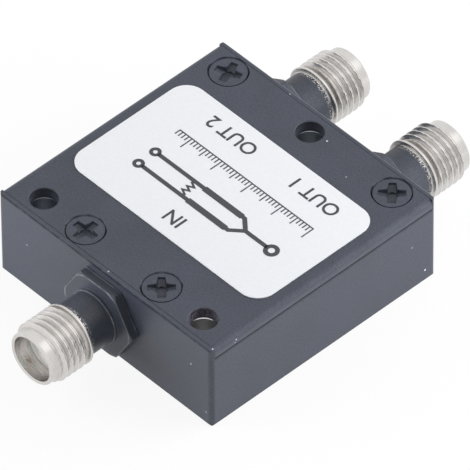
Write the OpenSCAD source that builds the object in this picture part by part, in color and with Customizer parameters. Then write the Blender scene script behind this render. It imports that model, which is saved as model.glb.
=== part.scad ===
// Two-way coaxial power splitter: a milled block with a flush drop-in lid, one threaded
// coaxial jack on the input face and two on the output face, and the divider board inside.
// The origin is at the middle of the base. The input jack points along -Y, the outputs
// along +Y, and the label faces +Z.

/* [Block] */
// Width of the block, across the jacks
body_w = 28; // [27.6:0.1:32]
// Depth of the block, along the jacks
body_d = 28; // [27.6:0.1:32]
// Height of the block with its lid
body_h = 9.8; // [9.6:0.1:12]
// Radius of the upright corners
corner_r = 0.5; // [0.2:0.05:1]
// Edge break round the base
base_break = 0.2; // [0.1:0.05:0.5]
// Thickness of the thin lips that the lid drops between
lip_t = 0.45; // [0.3:0.05:0.8]
// Edge break along the top of each lip
lip_break = 0.12; // [0.05:0.01:0.15]
// Thickness of the walls that the jacks screw into
end_wall_t = 5.2; // [4.9:0.1:5.8]
// Thickness of the two plain side walls
side_wall_t = 1.8; // [1.4:0.1:2.4]
// Radius that the cutter leaves in the corners of the pocket
pocket_r = 1.5; // [0.8:0.1:2.2]

/* [Mounting holes] */
// Diameter of the three through holes in the block
mount_d = 2.6; // [2.2:0.1:2.7]
// Diameter of the same holes in the lid
mount_lid_d = 2.7; // [2.7:0.1:3]
// Distance of the two outer holes from the side faces
mount_side_inset = 3.5; // [3:0.1:3.9]
// Distance of all three holes from the end faces
mount_end_inset = 2.4; // [2.2:0.1:2.6]

/* [Lid] */
// Thickness of the lid
lid_t = 1.2; // [1.1:0.05:1.6]
// Radius along the two side edges of the lid
lid_edge_r = 0.6; // [0.3:0.05:0.8]
// Edge break along the lower side edges of the lid
lid_break = 0.1; // [0.05:0.01:0.15]
// Edge break round the mounting holes in the lid
hole_break = 0.08; // [0.04:0.01:0.12]
// Gap between the lid and each lip
lid_gap = 0.04; // [0.02:0.01:0.08]

/* [Lid screws] */
// Nominal diameter of the screws
screw_d = 2; // [1.8:0.1:2.2]
// Diameter of the countersunk heads
head_d = 3.6; // [3.4:0.1:3.7]
// Height of the straight rim of a head
head_rim = 0.1; // [0.05:0.01:0.12]
// Length of a screw from the top of its head
screw_len = 3; // [2.5:0.5:4]
// Radial width of the ring left open round each head
head_ring = 0.17; // [0.1:0.01:0.2]
// Distance between the two screws beside the input jack
input_screw_pitch = 10; // [9.6:0.1:12]
// Distance of the two screws beside the output jacks from the side faces
output_screw_inset = 3.25; // [3:0.05:3.3]
// Distance of all four screws from the end faces
screw_end_inset = 2.4; // [2.3:0.1:2.6]
// Span of the cross recess
cross_span = 2.5; // [2.2:0.1:2.7]
// Width of each arm of the cross recess
cross_w = 0.5; // [0.4:0.02:0.6]
// Depth of the cross recess
cross_depth = 0.7; // [0.5:0.05:0.8]

/* [Label] */
// Distance of the label from the side faces
label_side_margin = 1.4; // [1.2:0.1:3]
// Distance of the label from the input face, clear of the screws and holes
label_input_margin = 7; // [6.6:0.1:7.6]
// Distance of the label from the output face
label_output_margin = 5.8; // [5:0.1:6.4]
// Thickness of the label
label_t = 0.1; // [0.05:0.01:0.2]
// Corner radius of the label
label_r = 2; // [1:0.1:3]

/* [Jacks] */
// Height of the jack axes above the base
axis_h = 4.85; // [4.7:0.05:5.2]
// Distance of the output jacks outwards from halfway between the middle and the screws
port_offset = 1.175; // [1:0.025:1.2]
// Length of a jack outside the block
jack_len = 9.05; // [8.8:0.05:11]
// Size of the hexagonal flange across its flats
flange_af = 7.9; // [7.4:0.1:8.4]
// Thickness of the hexagonal flange
flange_t = 1; // [0.8:0.05:1.8]
// Diameter of the circle that the flange's corners are turned down to
flange_face_d = 8.4; // [8:0.05:8.5]
// Turn of the hexagon on the input jack, in degrees, with 0 for corners level with the axis
input_flange_turn = 0; // [0:5:30]
// Turn of the hexagons on the output jacks, in degrees
output_flange_turn = 30; // [0:5:30]
// Diameter of the low shoulder on the flange
shoulder_d = 5.66; // [5.5:0.02:6]
// Height of the low shoulder
shoulder_t = 0.34; // [0.1:0.02:0.4]
// Diameter of the neck
neck_d = 5.44; // [5.2:0.02:5.5]
// Diameter of the threaded spigot inside the wall
spigot_d = 5; // [4.8:0.1:5.2]
// Length of the threaded spigot
spigot_len = 2.5; // [2:0.1:3.5]

/* [Coupling thread] */
// Outer diameter of the thread
thread_d = 6.27; // [6.19:0.01:6.33]
// Pitch of the thread
thread_pitch = 0.7056; // [0.7:0.0001:0.71]
// Number of full thread crests
thread_turns = 5; // [4:1:5]
// Length of the plain pilot in front of the last crest
pilot_len = 1.2; // [1.1:0.05:1.4]
// Diameter of the plain pilot
pilot_d = 5.4; // [5.3:0.02:5.44]
// Width of the collar behind the thread
collar_w = 0.3; // [0.2:0.02:0.34]
// Width of the relief groove between the collar and the thread
relief_w = 0.22; // [0.15:0.01:0.26]
// Bevel on the front edge of the pilot
pilot_bevel = 0.14; // [0.08:0.01:0.2]

/* [Mating face] */
// Diameter of the mouth that the plug's sleeve enters
mouth_d = 4.6; // [4.6:0.01:4.7]
// Depth of the mouth, down to the reference plane
mouth_depth = 1.93; // [1.88:0.01:1.98]
// Bevel round the mouth
mouth_bevel = 0.1; // [0.05:0.01:0.12]
// Diameter of the insulator
insulator_d = 4.1; // [4:0.01:4.2]
// Diameter of the centre contact
contact_d = 1.27; // [1.2:0.01:1.3]
// Diameter of the socket in the centre contact
socket_d = 0.95; // [0.92:0.01:0.98]
// Depth of the socket
socket_depth = 2.4; // [2:0.1:3]
// Width of the slots that spring the socket
slot_w = 0.14; // [0.1:0.01:0.18]
// Length of the slots
slot_len = 1.9; // [1.5:0.1:2]
// Distance of the contact below the reference plane
contact_recess = 0.08; // [0:0.01:0.2]
// Diameter of the tail that lies on the board
tail_d = 0.8; // [0.6:0.05:0.9]
// Length of the tail inside the pocket
tail_len = 1.6; // [1:0.1:2]

/* [Board] */
// Thickness of the board
board_t = 0.8; // [0.6:0.05:0.9]
// Gap between the board and the walls of the pocket
board_gap = 0.15; // [0.1:0.01:0.3]
// Thickness of the printed track
track_t = 0.05; // [0.03:0.01:0.07]
// Number of loops in the divider
sections = 4; // [4:1:4]
// Width of the straight input and output tracks
feed_w = 2.1; // [1.8:0.05:2.4]
// Width of the track round the first loop
loop_w = 0.5; // [0.4:0.05:0.6]
// Width that each following loop adds
loop_step = 0.15; // [0.1:0.01:0.18]
// Distance from the middle of the board to the outside of a loop
loop_reach = 4.6; // [4:0.1:5]
// Length of the straight track between the edge of the board and the loops
feed_len = 2.65; // [2.4:0.05:3]
// Open width between the two arms under a resistor
arm_gap = 1; // [0.8:0.05:1.1]
// Length of an isolation resistor
chip_len = 1.6; // [1.5:0.05:1.8]
// Width of an isolation resistor
chip_w = 0.8; // [0.7:0.05:0.9]
// Height of an isolation resistor
chip_t = 0.45; // [0.35:0.05:0.6]
// Diameter of the board screws
board_screw_d = 1.6; // [1.4:0.1:1.8]
// Length of the board screws under the head
board_screw_len = 2.6; // [2.2:0.1:3]
// Diameter of the board screws' heads
board_head_d = 2.8; // [2.6:0.1:3]
// Height of the board screws' heads
board_head_t = 1; // [0.8:0.1:1.2]
// Distance of the board screws from the edges of the board
board_screw_inset = 1.7; // [1.6:0.1:1.9]
// Depth of the drive slot in a board screw
board_slot_t = 0.45; // [0.3:0.05:0.5]

/* [Fits] */
// Radial gap round parts that screw or press into a hole
fit_gap = 0.02; // [0.01:0.005:0.03]
// Radial gap round the board screws in the board
board_hole_gap = 0.1; // [0.05:0.01:0.15]
// Spare depth under the end of each screw
tap_spare = 0.6; // [0.4:0.1:0.8]

/* [Hidden] */
$fn = 96;
// Overrun of every cutting shape
over = 0.5;
hex_sides = 6;

// Heights in the block
lid_z = body_h - lid_t;
board_top = axis_h - tail_d / 2 - track_t;
board_z = board_top - board_t;
pocket_h = lid_z - board_z;

// Plan sizes in the block
pocket_w = body_w - 2 * side_wall_t;
pocket_d = body_d - 2 * end_wall_t;
lid_d = body_d - 2 * lip_t - 2 * lid_gap;
board_w = pocket_w - 2 * board_gap;
board_d = pocket_d - 2 * board_gap;
board_r = pocket_r - board_gap;

// Places of the holes, each as [x, y]
mount_x = body_w / 2 - mount_side_inset;
mount_y = body_d / 2 - mount_end_inset;
MOUNTS = [[-mount_x, -mount_y], [mount_x, -mount_y], [0, mount_y]];
screw_y = body_d / 2 - screw_end_inset;
output_screw_x = body_w / 2 - output_screw_inset;
SCREWS = [[-input_screw_pitch / 2, -screw_y], [input_screw_pitch / 2, -screw_y],
          [-output_screw_x, screw_y], [output_screw_x, screw_y]];
// Direction in which the recess of each lid screw stopped, in degrees
SCREW_TURNS = [2, 47, 20, 44];
board_screw_x = board_w / 2 - board_screw_inset;
board_screw_y = board_d / 2 - board_screw_inset;
BOARD_SCREWS = [[-board_screw_x, -board_screw_y], [board_screw_x, -board_screw_y],
                [-board_screw_x, board_screw_y], [board_screw_x, board_screw_y]];
// Output jacks: midway between the middle hole and the screws, and a little outwards
port_x = output_screw_x / 2 + port_offset;

// Label: what its margins leave of the lid
label_w = body_w - 2 * label_side_margin;
label_d = body_d - label_input_margin - label_output_margin;
label_y = (label_input_margin - label_output_margin) / 2;

// Lid screw: the cone of the head and of its countersink have the same right angle
head_cone = (head_d - screw_d) / 2;
sink_d = head_d + 2 * head_ring;

// Stations along a jack, from the outer face of the wall outwards
mouth_z = jack_len - mouth_depth;
last_crest = jack_len - pilot_len;
first_crest = last_crest - (thread_turns - 1) * thread_pitch;
// Share of the pitch taken by the flat crest and by each flank of the thread form
crest_share = 1 / 8;
flank_share = 5 / 16;
thread_depth = thread_pitch * flank_share * tan(60);
root_d = thread_d - 2 * thread_depth;
thread_back = first_crest - thread_pitch * (crest_share / 2 + flank_share);
thread_front = last_crest + thread_pitch * (crest_share / 2 + flank_share);
collar_front = thread_back - relief_w;
collar_back = collar_front - collar_w;
collar_bevel = collar_w / 5;
relief_d = neck_d;

// Divider: the loops run from the input feed towards the outputs
loop_len = (board_d - 2 * feed_len) / sections;
loops_y = feed_len - board_d / 2;
feed_end = board_d / 2 - board_gap;
arm_x = arm_gap / 2;

// A plate with round upright corners
module rounded_plate(w, d, r, h) {
    translate([-w / 2, r - d / 2, 0]) cube([w, d - 2 * r, h]);
    translate([r - w / 2, -d / 2, 0]) cube([w - 2 * r, d, h]);
    for (x = [-1, 1], y = [-1, 1])
        translate([x * (w / 2 - r), y * (d / 2 - r), 0]) cylinder(r = r, h = h);
}

// Cross section with bevelled lower edges and, where asked, bevelled upper edges
module bevelled_section(w, h, low, high) {
    polygon([[low - w / 2, 0], [w / 2 - low, 0], [w / 2, low], [w / 2, h - high],
             [w / 2 - high, h], [high - w / 2, h], [-w / 2, h - high], [-w / 2, low]]);
}

// Runs a cross section drawn in X and Z along Y, centred
module along_y(len) {
    rotate([90, 0, 0]) linear_extrude(len, center = true) children();
}

// Places a jack, or a part of one, on its wall: drawn from the wall face outwards along +Z
module on_input() {
    translate([0, -body_d / 2, axis_h]) rotate([90, 0, 0]) children();
}
module on_output(side) {
    translate([side * port_x, body_d / 2, axis_h]) rotate([-90, 0, 0]) children();
}
module on_every_port() {
    on_input() children();
    for (side = [-1, 1]) on_output(side) children();
}

// Hole through the wall for one jack
module jack_hole() {
    translate([0, 0, -spigot_len - fit_gap])
        cylinder(d = spigot_d + 2 * fit_gap, h = spigot_len + fit_gap + over);
    translate([0, 0, -end_wall_t - over])
        cylinder(d = insulator_d + 2 * fit_gap, h = end_wall_t + over);
}

// Milled block: pocket, channel for the lid, through holes and tapped holes
module housing() {
    color("#4d535c") difference() {
        intersection() {
            rounded_plate(body_w, body_d, corner_r, body_h);
            along_y(body_d + 2 * over) bevelled_section(body_w, body_h, base_break, lip_break);
            rotate([0, 0, 90])
                along_y(body_w + 2 * over) bevelled_section(body_d, body_h, base_break, lip_break);
        }
        translate([-body_w / 2 - over, lip_t - body_d / 2, lid_z])
            cube([body_w + 2 * over, body_d - 2 * lip_t, lid_t + over]);
        translate([0, 0, board_z]) rounded_plate(pocket_w, pocket_d, pocket_r, pocket_h + over);
        on_every_port() jack_hole();
        for (p = MOUNTS)
            translate([p[0], p[1], -over]) cylinder(d = mount_d, h = body_h + 2 * over);
        for (p = SCREWS)
            translate([p[0], p[1], body_h - screw_len - tap_spare])
                cylinder(d = screw_d + 2 * fit_gap, h = screw_len + tap_spare);
        for (p = BOARD_SCREWS)
            translate([p[0], p[1], board_top - board_screw_len - tap_spare / 2])
                cylinder(d = board_screw_d + 2 * fit_gap, h = board_screw_len);
    }
}

// The lid's cross section: round upper edges, bevelled lower edges
module lid_section() {
    polygon([[lid_break - body_w / 2, 0], [body_w / 2 - lid_break, 0], [body_w / 2, lid_break],
             [body_w / 2, lid_t - lid_edge_r], [-body_w / 2, lid_t - lid_edge_r], [-body_w / 2, lid_break]]);
    translate([lid_edge_r - body_w / 2, 0]) square([body_w - 2 * lid_edge_r, lid_t]);
    for (x = [-1, 1]) translate([x * (body_w / 2 - lid_edge_r), lid_t - lid_edge_r])
        intersection() {
            circle(r = lid_edge_r);
            translate([-lid_edge_r, 0]) square([2 * lid_edge_r, lid_edge_r]);
        }
}

// Lid: runs the full width of the block and lies flush between the lips
module lid() {
    color("#596069") difference() {
        translate([0, 0, lid_z]) along_y(lid_d) lid_section();
        for (p = MOUNTS) translate([p[0], p[1], 0]) {
            translate([0, 0, lid_z - over]) cylinder(d = mount_lid_d, h = lid_t + 2 * over);
            translate([0, 0, body_h - hole_break])
                cylinder(d1 = mount_lid_d, d2 = mount_lid_d + 2 * (hole_break + over), h = hole_break + over);
        }
        for (p = SCREWS) translate([p[0], p[1], 0]) {
            translate([0, 0, lid_z - over]) cylinder(d = screw_d + 2 * head_ring, h = lid_t + over);
            translate([0, 0, body_h - sink_d / 2])
                cylinder(d1 = 0, d2 = sink_d + 2 * over, h = sink_d / 2 + over);
        }
    }
}

// Cross recess of a lid screw, cut down from z = 0
module cross_recess() {
    for (a = [0, 90]) rotate([0, 0, a]) along_y(cross_w)
        polygon([[-cross_span / 2, over], [cross_span / 2, over], [cross_span / 2, 0],
                 [cross_w / 2, -cross_depth], [-cross_w / 2, -cross_depth], [-cross_span / 2, 0]]);
}

// One countersunk screw with the top of its head at z = 0
module lid_screw() {
    difference() {
        rotate_extrude() polygon([[0, 0], [head_d / 2, 0], [head_d / 2, -head_rim],
                                  [screw_d / 2, -head_rim - head_cone], [screw_d / 2, head_rim - screw_len],
                                  [screw_d / 2 - head_rim, -screw_len], [0, -screw_len]]);
        cross_recess();
    }
}

// Four countersunk screws, flush with the lid
module lid_screws() {
    color("#41464e") for (i = [0 : len(SCREWS) - 1])
        translate([SCREWS[i][0], SCREWS[i][1], body_h + head_rim - head_ring])
            rotate([0, 0, SCREW_TURNS[i]]) lid_screw();
}

// Adhesive label on the lid
module label() {
    color("#eef1f4") translate([0, label_y, body_h])
        rounded_plate(label_w, label_d, label_r, label_t);
}

// Hexagonal flange with its outer corners turned down
module flange() {
    intersection() {
        cylinder(d = flange_af / cos(180 / hex_sides), h = flange_t, $fn = hex_sides);
        rotate_extrude() polygon([[0, 0], [flange_af, 0],
                                  [flange_af, flange_t - (flange_af - flange_face_d / 2) * tan(30)],
                                  [flange_face_d / 2, flange_t], [0, flange_t]]);
    }
}

// Outline of one thread crest, as [radius, station] points from back to front
function crest(z) = [
    [root_d / 2, z - thread_pitch * (crest_share / 2 + flank_share)],
    [thread_d / 2, z - thread_pitch * crest_share / 2],
    [thread_d / 2, z + thread_pitch * crest_share / 2],
    [root_d / 2, z + thread_pitch * (crest_share / 2 + flank_share)]
];

// Turned outline of the barrel: shoulder, neck, collar, relief groove, thread and pilot
function barrel_outline() = concat(
    [[0, 0], [shoulder_d / 2, 0], [shoulder_d / 2, flange_t + shoulder_t],
     [neck_d / 2, flange_t + shoulder_t], [neck_d / 2, collar_back],
     [thread_d / 2 - collar_bevel, collar_back], [thread_d / 2, collar_back + collar_bevel],
     [thread_d / 2, collar_front - collar_bevel], [thread_d / 2 - collar_bevel, collar_front],
     [relief_d / 2, collar_front], [relief_d / 2, thread_back]],
    [for (i = [0 : thread_turns - 1], p = crest(first_crest + i * thread_pitch)) p],
    [[pilot_d / 2, thread_front], [pilot_d / 2, jack_len - pilot_bevel],
     [pilot_d / 2 - pilot_bevel, jack_len], [0, jack_len]]
);

// Body of a jack, turned in one piece with its flange and its rear spigot; the hexagon stops at a turn
module jack_body(turn) {
    color("#c8c6c1") difference() {
        union() {
            rotate([0, 0, turn]) flange();
            rotate_extrude() polygon(barrel_outline());
            translate([0, 0, -spigot_len]) cylinder(d = spigot_d, h = spigot_len + flange_t / 2);
        }
        translate([0, 0, mouth_z]) cylinder(d = mouth_d, h = mouth_depth + over);
        translate([0, 0, jack_len - mouth_bevel])
            cylinder(d1 = mouth_d, d2 = mouth_d + 2 * mouth_bevel, h = mouth_bevel);
        translate([0, 0, -spigot_len - over])
            cylinder(d = insulator_d, h = mouth_z + spigot_len + 2 * over);
    }
}

// White insulator from the reference plane to the inner face of the wall
module insulator() {
    color("#f4f3ee") difference() {
        translate([0, 0, -end_wall_t])
            cylinder(d = insulator_d - 2 * fit_gap, h = mouth_z + end_wall_t);
        translate([0, 0, -end_wall_t - over])
            cylinder(d = contact_d + 2 * fit_gap, h = mouth_z + end_wall_t + 2 * over);
    }
}

// Centre contact: slotted socket in front, plain tail on the board behind
module contact() {
    top = mouth_z - contact_recess;
    color("#d9b45a") difference() {
        union() {
            translate([0, 0, -end_wall_t]) cylinder(d = contact_d, h = top + end_wall_t);
            translate([0, 0, -end_wall_t - tail_len])
                cylinder(d = tail_d, h = tail_len + end_wall_t / 2);
        }
        translate([0, 0, top - socket_depth]) cylinder(d = socket_d, h = socket_depth + over);
        for (a = [0, 90]) rotate([0, 0, a])
            translate([-contact_d, -slot_w / 2, top - slot_len])
                cube([2 * contact_d, slot_w, slot_len + over]);
    }
}

// Board that fills the floor of the pocket
module divider_board() {
    color("#e6e2cf") difference() {
        translate([0, 0, board_z]) rounded_plate(board_w, board_d, board_r, board_t);
        for (p = BOARD_SCREWS)
            translate([p[0], p[1], board_z - over])
                cylinder(d = board_screw_d + 2 * board_hole_gap, h = board_t + 2 * over);
    }
}

// Width of the track round loop i
function loop_track(i) = loop_w + i * loop_step;

// One arm of the divider on the +X side, in plan
module arm() {
    for (i = [0 : sections - 1]) {
        w = loop_track(i);
        y = loops_y + i * loop_len;
        translate([arm_x, y]) square([loop_reach - arm_x, w]);
        translate([loop_reach - w, y]) square([w, loop_len]);
        translate([arm_x, y + loop_len - w]) square([loop_reach - arm_x, w]);
        translate([arm_x, y + loop_len - w]) square([w, 2 * w]);
    }
    end_y = loops_y + sections * loop_len;
    translate([arm_x, end_y - loop_w]) square([port_x + feed_w / 2 - arm_x, feed_w / 2 + loop_w]);
    translate([port_x - feed_w / 2, end_y - loop_w]) square([feed_w, feed_end - end_y + loop_w]);
}

// Printed track: input feed, two chains of loops and two output feeds
module divider_track() {
    color("#c98a4b") translate([0, 0, board_top]) linear_extrude(track_t) {
        translate([-feed_w / 2, -feed_end]) square([feed_w, loops_y + feed_end]);
        translate([-arm_gap, loops_y - loop_w]) square([2 * arm_gap, 2 * loop_w]);
        arm();
        mirror([1, 0]) arm();
    }
}

// Isolation resistor across the two arms at the end of loop i
module isolation_resistor(i) {
    y = loops_y + (i + 1) * loop_len - loop_track(i) / 2;
    color("#2c2c30") translate([-chip_len / 2, y - chip_w / 2, board_top + track_t])
        cube([chip_len, chip_w, chip_t]);
}

// Slotted cheese-head screws that hold the board down
module board_screws() {
    color("#b9bcc0") for (p = BOARD_SCREWS) translate([p[0], p[1], board_top]) difference() {
        union() {
            cylinder(d = board_head_d, h = board_head_t);
            translate([0, 0, -board_screw_len])
                cylinder(d = board_screw_d, h = board_screw_len + board_head_t / 2);
        }
        translate([-board_head_d, -board_slot_t / 2, board_head_t - board_slot_t])
            cube([2 * board_head_d, board_slot_t, board_slot_t + over]);
    }
}

housing();
lid();
lid_screws();
label();
on_input() jack_body(input_flange_turn);  // input_jack
on_output(1) jack_body(output_flange_turn);  // output_1_jack
on_output(-1) jack_body(output_flange_turn);  // output_2_jack
on_input() insulator();  // input_insulator
on_output(1) insulator();  // output_1_insulator
on_output(-1) insulator();  // output_2_insulator
on_input() contact();  // input_contact
on_output(1) contact();  // output_1_contact
on_output(-1) contact();  // output_2_contact
divider_board();
divider_track();
isolation_resistor(0);  // isolation_resistor_1
isolation_resistor(1);  // isolation_resistor_2
isolation_resistor(2);  // isolation_resistor_3
isolation_resistor(3);  // isolation_resistor_4
board_screws();
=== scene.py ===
"""Looks of a two-way coaxial power splitter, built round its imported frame.

A low square block with a drop-in lid wears a satin dark lacquer. Three turned jacks are lacquered
as far as their necks and bare nickel from the collar on, with a true helical coupling thread. A
white film label carries plain printed marks. All lengths are in metres.
"""

import logging
import math
from dataclasses import dataclass
from enum import Enum
from typing import Union

import bmesh
import bpy
import numpy as np
from mathutils import Matrix, Vector


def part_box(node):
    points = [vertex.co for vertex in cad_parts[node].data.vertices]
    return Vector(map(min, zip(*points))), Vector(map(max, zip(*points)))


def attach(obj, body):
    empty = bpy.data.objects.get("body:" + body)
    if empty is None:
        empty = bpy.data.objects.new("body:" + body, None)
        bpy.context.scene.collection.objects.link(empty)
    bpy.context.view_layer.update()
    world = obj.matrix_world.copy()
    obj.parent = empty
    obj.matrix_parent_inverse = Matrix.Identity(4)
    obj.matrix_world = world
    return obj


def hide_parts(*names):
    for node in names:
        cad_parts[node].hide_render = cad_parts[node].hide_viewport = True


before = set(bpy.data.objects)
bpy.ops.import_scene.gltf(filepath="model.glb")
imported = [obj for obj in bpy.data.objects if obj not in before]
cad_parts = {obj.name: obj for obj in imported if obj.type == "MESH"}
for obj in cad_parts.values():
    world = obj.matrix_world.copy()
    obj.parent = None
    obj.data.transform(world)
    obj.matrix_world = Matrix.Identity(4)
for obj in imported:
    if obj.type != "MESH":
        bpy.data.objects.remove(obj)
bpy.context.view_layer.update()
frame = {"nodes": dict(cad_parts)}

MM = 0.001
BODY = "root"
LOG = logging.getLogger("splitter")

Colour = tuple[float, float, float]
Place = tuple[float, float, float]
Term = Union["Value", float]
Owner = Union[bpy.types.Material, bpy.types.World]


class Value:
    """One output of a shader node, with operators that add Math nodes.

    An expression such as ``1 - mask * 0.5`` gives a new Value.
    """

    def __init__(self, recipe: "Recipe", socket: bpy.types.NodeSocket) -> None:
        """Wraps a socket.

        Args:
            recipe: The node tree that the socket belongs to.
            socket: The output socket.
        """
        self.recipe = recipe
        self.socket = socket

    def math(self, operation: str, *terms: Term, clamp: bool = False) -> "Value":
        """Adds one Math node.

        Args:
            operation: The node's operation.
            *terms: Its inputs in order.
            clamp: Whether the result is held between 0 and 1.

        Returns:
            The node's result.
        """
        settings = {"operation": operation, "use_clamp": clamp}
        return self.recipe.add("ShaderNodeMath", settings, dict(enumerate(terms)))

    def __add__(self, other: Term) -> "Value":
        """Sum."""
        return self.math("ADD", self, other)

    def __radd__(self, other: float) -> "Value":
        """Sum with a number on the left."""
        return self.math("ADD", other, self)

    def __sub__(self, other: Term) -> "Value":
        """Difference."""
        return self.math("SUBTRACT", self, other)

    def __rsub__(self, other: float) -> "Value":
        """Difference from a number on the left."""
        return self.math("SUBTRACT", other, self)

    def __mul__(self, other: Term) -> "Value":
        """Product."""
        return self.math("MULTIPLY", self, other)

    def __rmul__(self, other: float) -> "Value":
        """Product with a number on the left."""
        return self.math("MULTIPLY", other, self)

    def __truediv__(self, other: Term) -> "Value":
        """Quotient."""
        return self.math("DIVIDE", self, other)

    def __rtruediv__(self, other: float) -> "Value":
        """Quotient of a number on the left."""
        return self.math("DIVIDE", other, self)

    def larger(self, other: Term) -> "Value":
        """The larger of two values."""
        return self.math("MAXIMUM", self, other)

    def clipped(self) -> "Value":
        """The value held between 0 and 1."""
        return self.math("ADD", self, 0.0, clamp=True)

    def rise(self, low: float, high: float) -> "Value":
        """Smooth step from 0 at one value to 1 at another.

        Args:
            low: Value at which the step begins.
            high: Value at which it has reached 1.

        Returns:
            The step.
        """
        settings = {"interpolation_type": "SMOOTHSTEP"}
        sockets = {"Value": self, "From Min": low, "From Max": high}
        return self.recipe.add("ShaderNodeMapRange", settings, sockets)


class Recipe:
    """Node tree of one material or world."""

    def __init__(self, owner: Owner) -> None:
        """Empties the owner's node tree.

        Args:
            owner: The material or world.
        """
        owner.use_nodes = True
        self.owner = owner
        self.tree = owner.node_tree
        self.tree.nodes.clear()

    @classmethod
    def material(cls, name: str) -> "Recipe":
        """Starts a new material."""
        return cls(bpy.data.materials.new(name))

    def add(self, kind: str, settings: dict | None = None, sockets: dict | None = None,
            output: int | str = 0) -> Value:
        """Adds any node.

        Args:
            kind: The node's type.
            settings: Its settings, which are set first.
            sockets: Numbers, colours or Values for its inputs, by name or number.
            output: The output that is handed back, by name or number.

        Returns:
            That output.
        """
        node = self.tree.nodes.new(kind)
        for key, setting in (settings or {}).items():
            setattr(node, key, setting)
        for key, given in (sockets or {}).items():
            if isinstance(given, Value):
                self.tree.links.new(given.socket, node.inputs[key])
            else:
                node.inputs[key].default_value = given
        return Value(self, node.outputs[output])

    def place(self) -> Value:
        """Object coordinates."""
        return self.add("ShaderNodeTexCoord", output="Object")

    def attribute(self, name: str) -> Value:
        """A number that the mesh carries on its points.

        Args:
            name: The attribute's name.

        Returns:
            Its value at the shaded point.
        """
        return self.add("ShaderNodeAttribute", {"attribute_name": name}, output="Fac")

    def noise(self, size: float, detail: float = 2.0, where: Value | None = None) -> Value:
        """Noise of a given grain.

        Args:
            size: Length of one grain.
            detail: How many finer layers are added.
            where: Coordinates, or Object coordinates if none are given.

        Returns:
            A number around 0.5.
        """
        sockets = {"Vector": where or self.place(), "Scale": 1 / size, "Detail": detail}
        return self.add("ShaderNodeTexNoise", sockets=sockets)

    def blend(self, factor: Term, first: "Value | Colour", second: "Value | Colour") -> Value:
        """Mixes two colours.

        Args:
            factor: 0 gives the first colour and 1 the second.
            first: Colour or Value.
            second: Colour or Value.

        Returns:
            The mixed colour.
        """
        pair = [given if isinstance(given, Value) else (*given, 1.0) for given in (first, second)]
        factor_input, first_input, second_input, colour_output = 0, 6, 7, 2
        sockets = {factor_input: factor, first_input: pair[0], second_input: pair[1]}
        return self.add("ShaderNodeMix", {"data_type": "RGBA"}, sockets, colour_output)

    def lean(self, factor: Term, first: Value, second: Value) -> Value:
        """Mixes two directions.

        Args:
            factor: 0 gives the first direction and 1 the second.
            first: Direction.
            second: Direction.

        Returns:
            The mixed direction, of length 1.
        """
        factor_input, first_input, second_input, vector_output = 0, 4, 5, 1
        sockets = {factor_input: factor, first_input: first, second_input: second}
        mixed = self.add("ShaderNodeMix", {"data_type": "VECTOR"}, sockets, vector_output)
        return self.add("ShaderNodeVectorMath", {"operation": "NORMALIZE"}, {0: mixed})

    def axes(self) -> tuple[Value, Value, Value]:
        """Object coordinates as three numbers."""
        split = self.add("ShaderNodeSeparateXYZ", sockets={0: self.place()})
        return tuple(self.outputs(split, 0, 1, 2))

    def outputs(self, first: Value, *keys: int | str) -> list[Value]:
        """Several outputs of one node.

        Args:
            first: Any output of the node.
            *keys: The outputs' names or numbers.

        Returns:
            The outputs in that order.
        """
        return [Value(self, first.socket.node.outputs[key]) for key in keys]

    def relief(self, height: Value, depth: float) -> Value:
        """Bump from a height.

        Args:
            height: Height between 0 and 1.
            depth: Real height that 1 stands for.

        Returns:
            The bumped normal.
        """
        return self.add("ShaderNodeBump", sockets={"Height": height, "Distance": depth})

    def surface(self, **sockets: object) -> bpy.types.Material:
        """Closes the recipe with a Principled shader.

        Args:
            **sockets: The shader's inputs, with an underscore for each space.

        Returns:
            The finished material.
        """
        named = {key.replace("_", " "): given for key, given in sockets.items()}
        return self.close(self.add("ShaderNodeBsdfPrincipled", sockets=named))

    def close(self, shader: Value, output: str = "ShaderNodeOutputMaterial") -> Owner:
        """Links a shader to the output.

        Args:
            shader: The shader.
            output: Type of the output node.

        Returns:
            The material or world.
        """
        node = self.tree.nodes.new(output)
        self.tree.links.new(shader.socket, node.inputs["Surface"])
        return self.owner


# Colours of painted shade in seams and rings, and of painted highlights on edges
SHADE: Colour = (0.03, 0.034, 0.045)
PALE: Colour = (0.13, 0.14, 0.16)


def scaled(colour: Colour, factor: float) -> Colour:
    """A colour made darker or lighter by one factor."""
    return tuple(channel * factor for channel in colour)


@dataclass(frozen=True)
class Speck:
    """A grain of pale dust that lies on the lacquer.

    Attributes:
        place: Its middle.
        size: Its radius.
        strength: How far it covers the lacquer, from 0 to 1.
        colour: Its colour.
        grain: Grain of its ragged edge.
        ragged: How far the edge wanders, as a share of the radius.
    """

    place: Place
    size: float
    strength: float
    colour: Colour = (0.8, 0.8, 0.82)
    grain: float = 0.08 * MM
    ragged: float = 1.2

    def mask(self, recipe: Recipe) -> Value:
        """1 inside a ragged radius, falling to 0."""
        sockets = {0: recipe.place(), 1: self.place}
        away = recipe.add("ShaderNodeVectorMath", {"operation": "DISTANCE"}, sockets, "Value")
        edge = away / self.size + (recipe.noise(self.grain) - 0.5) * self.ragged
        return (1 - edge.rise(0.7, 1.1)) * self.strength


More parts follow.
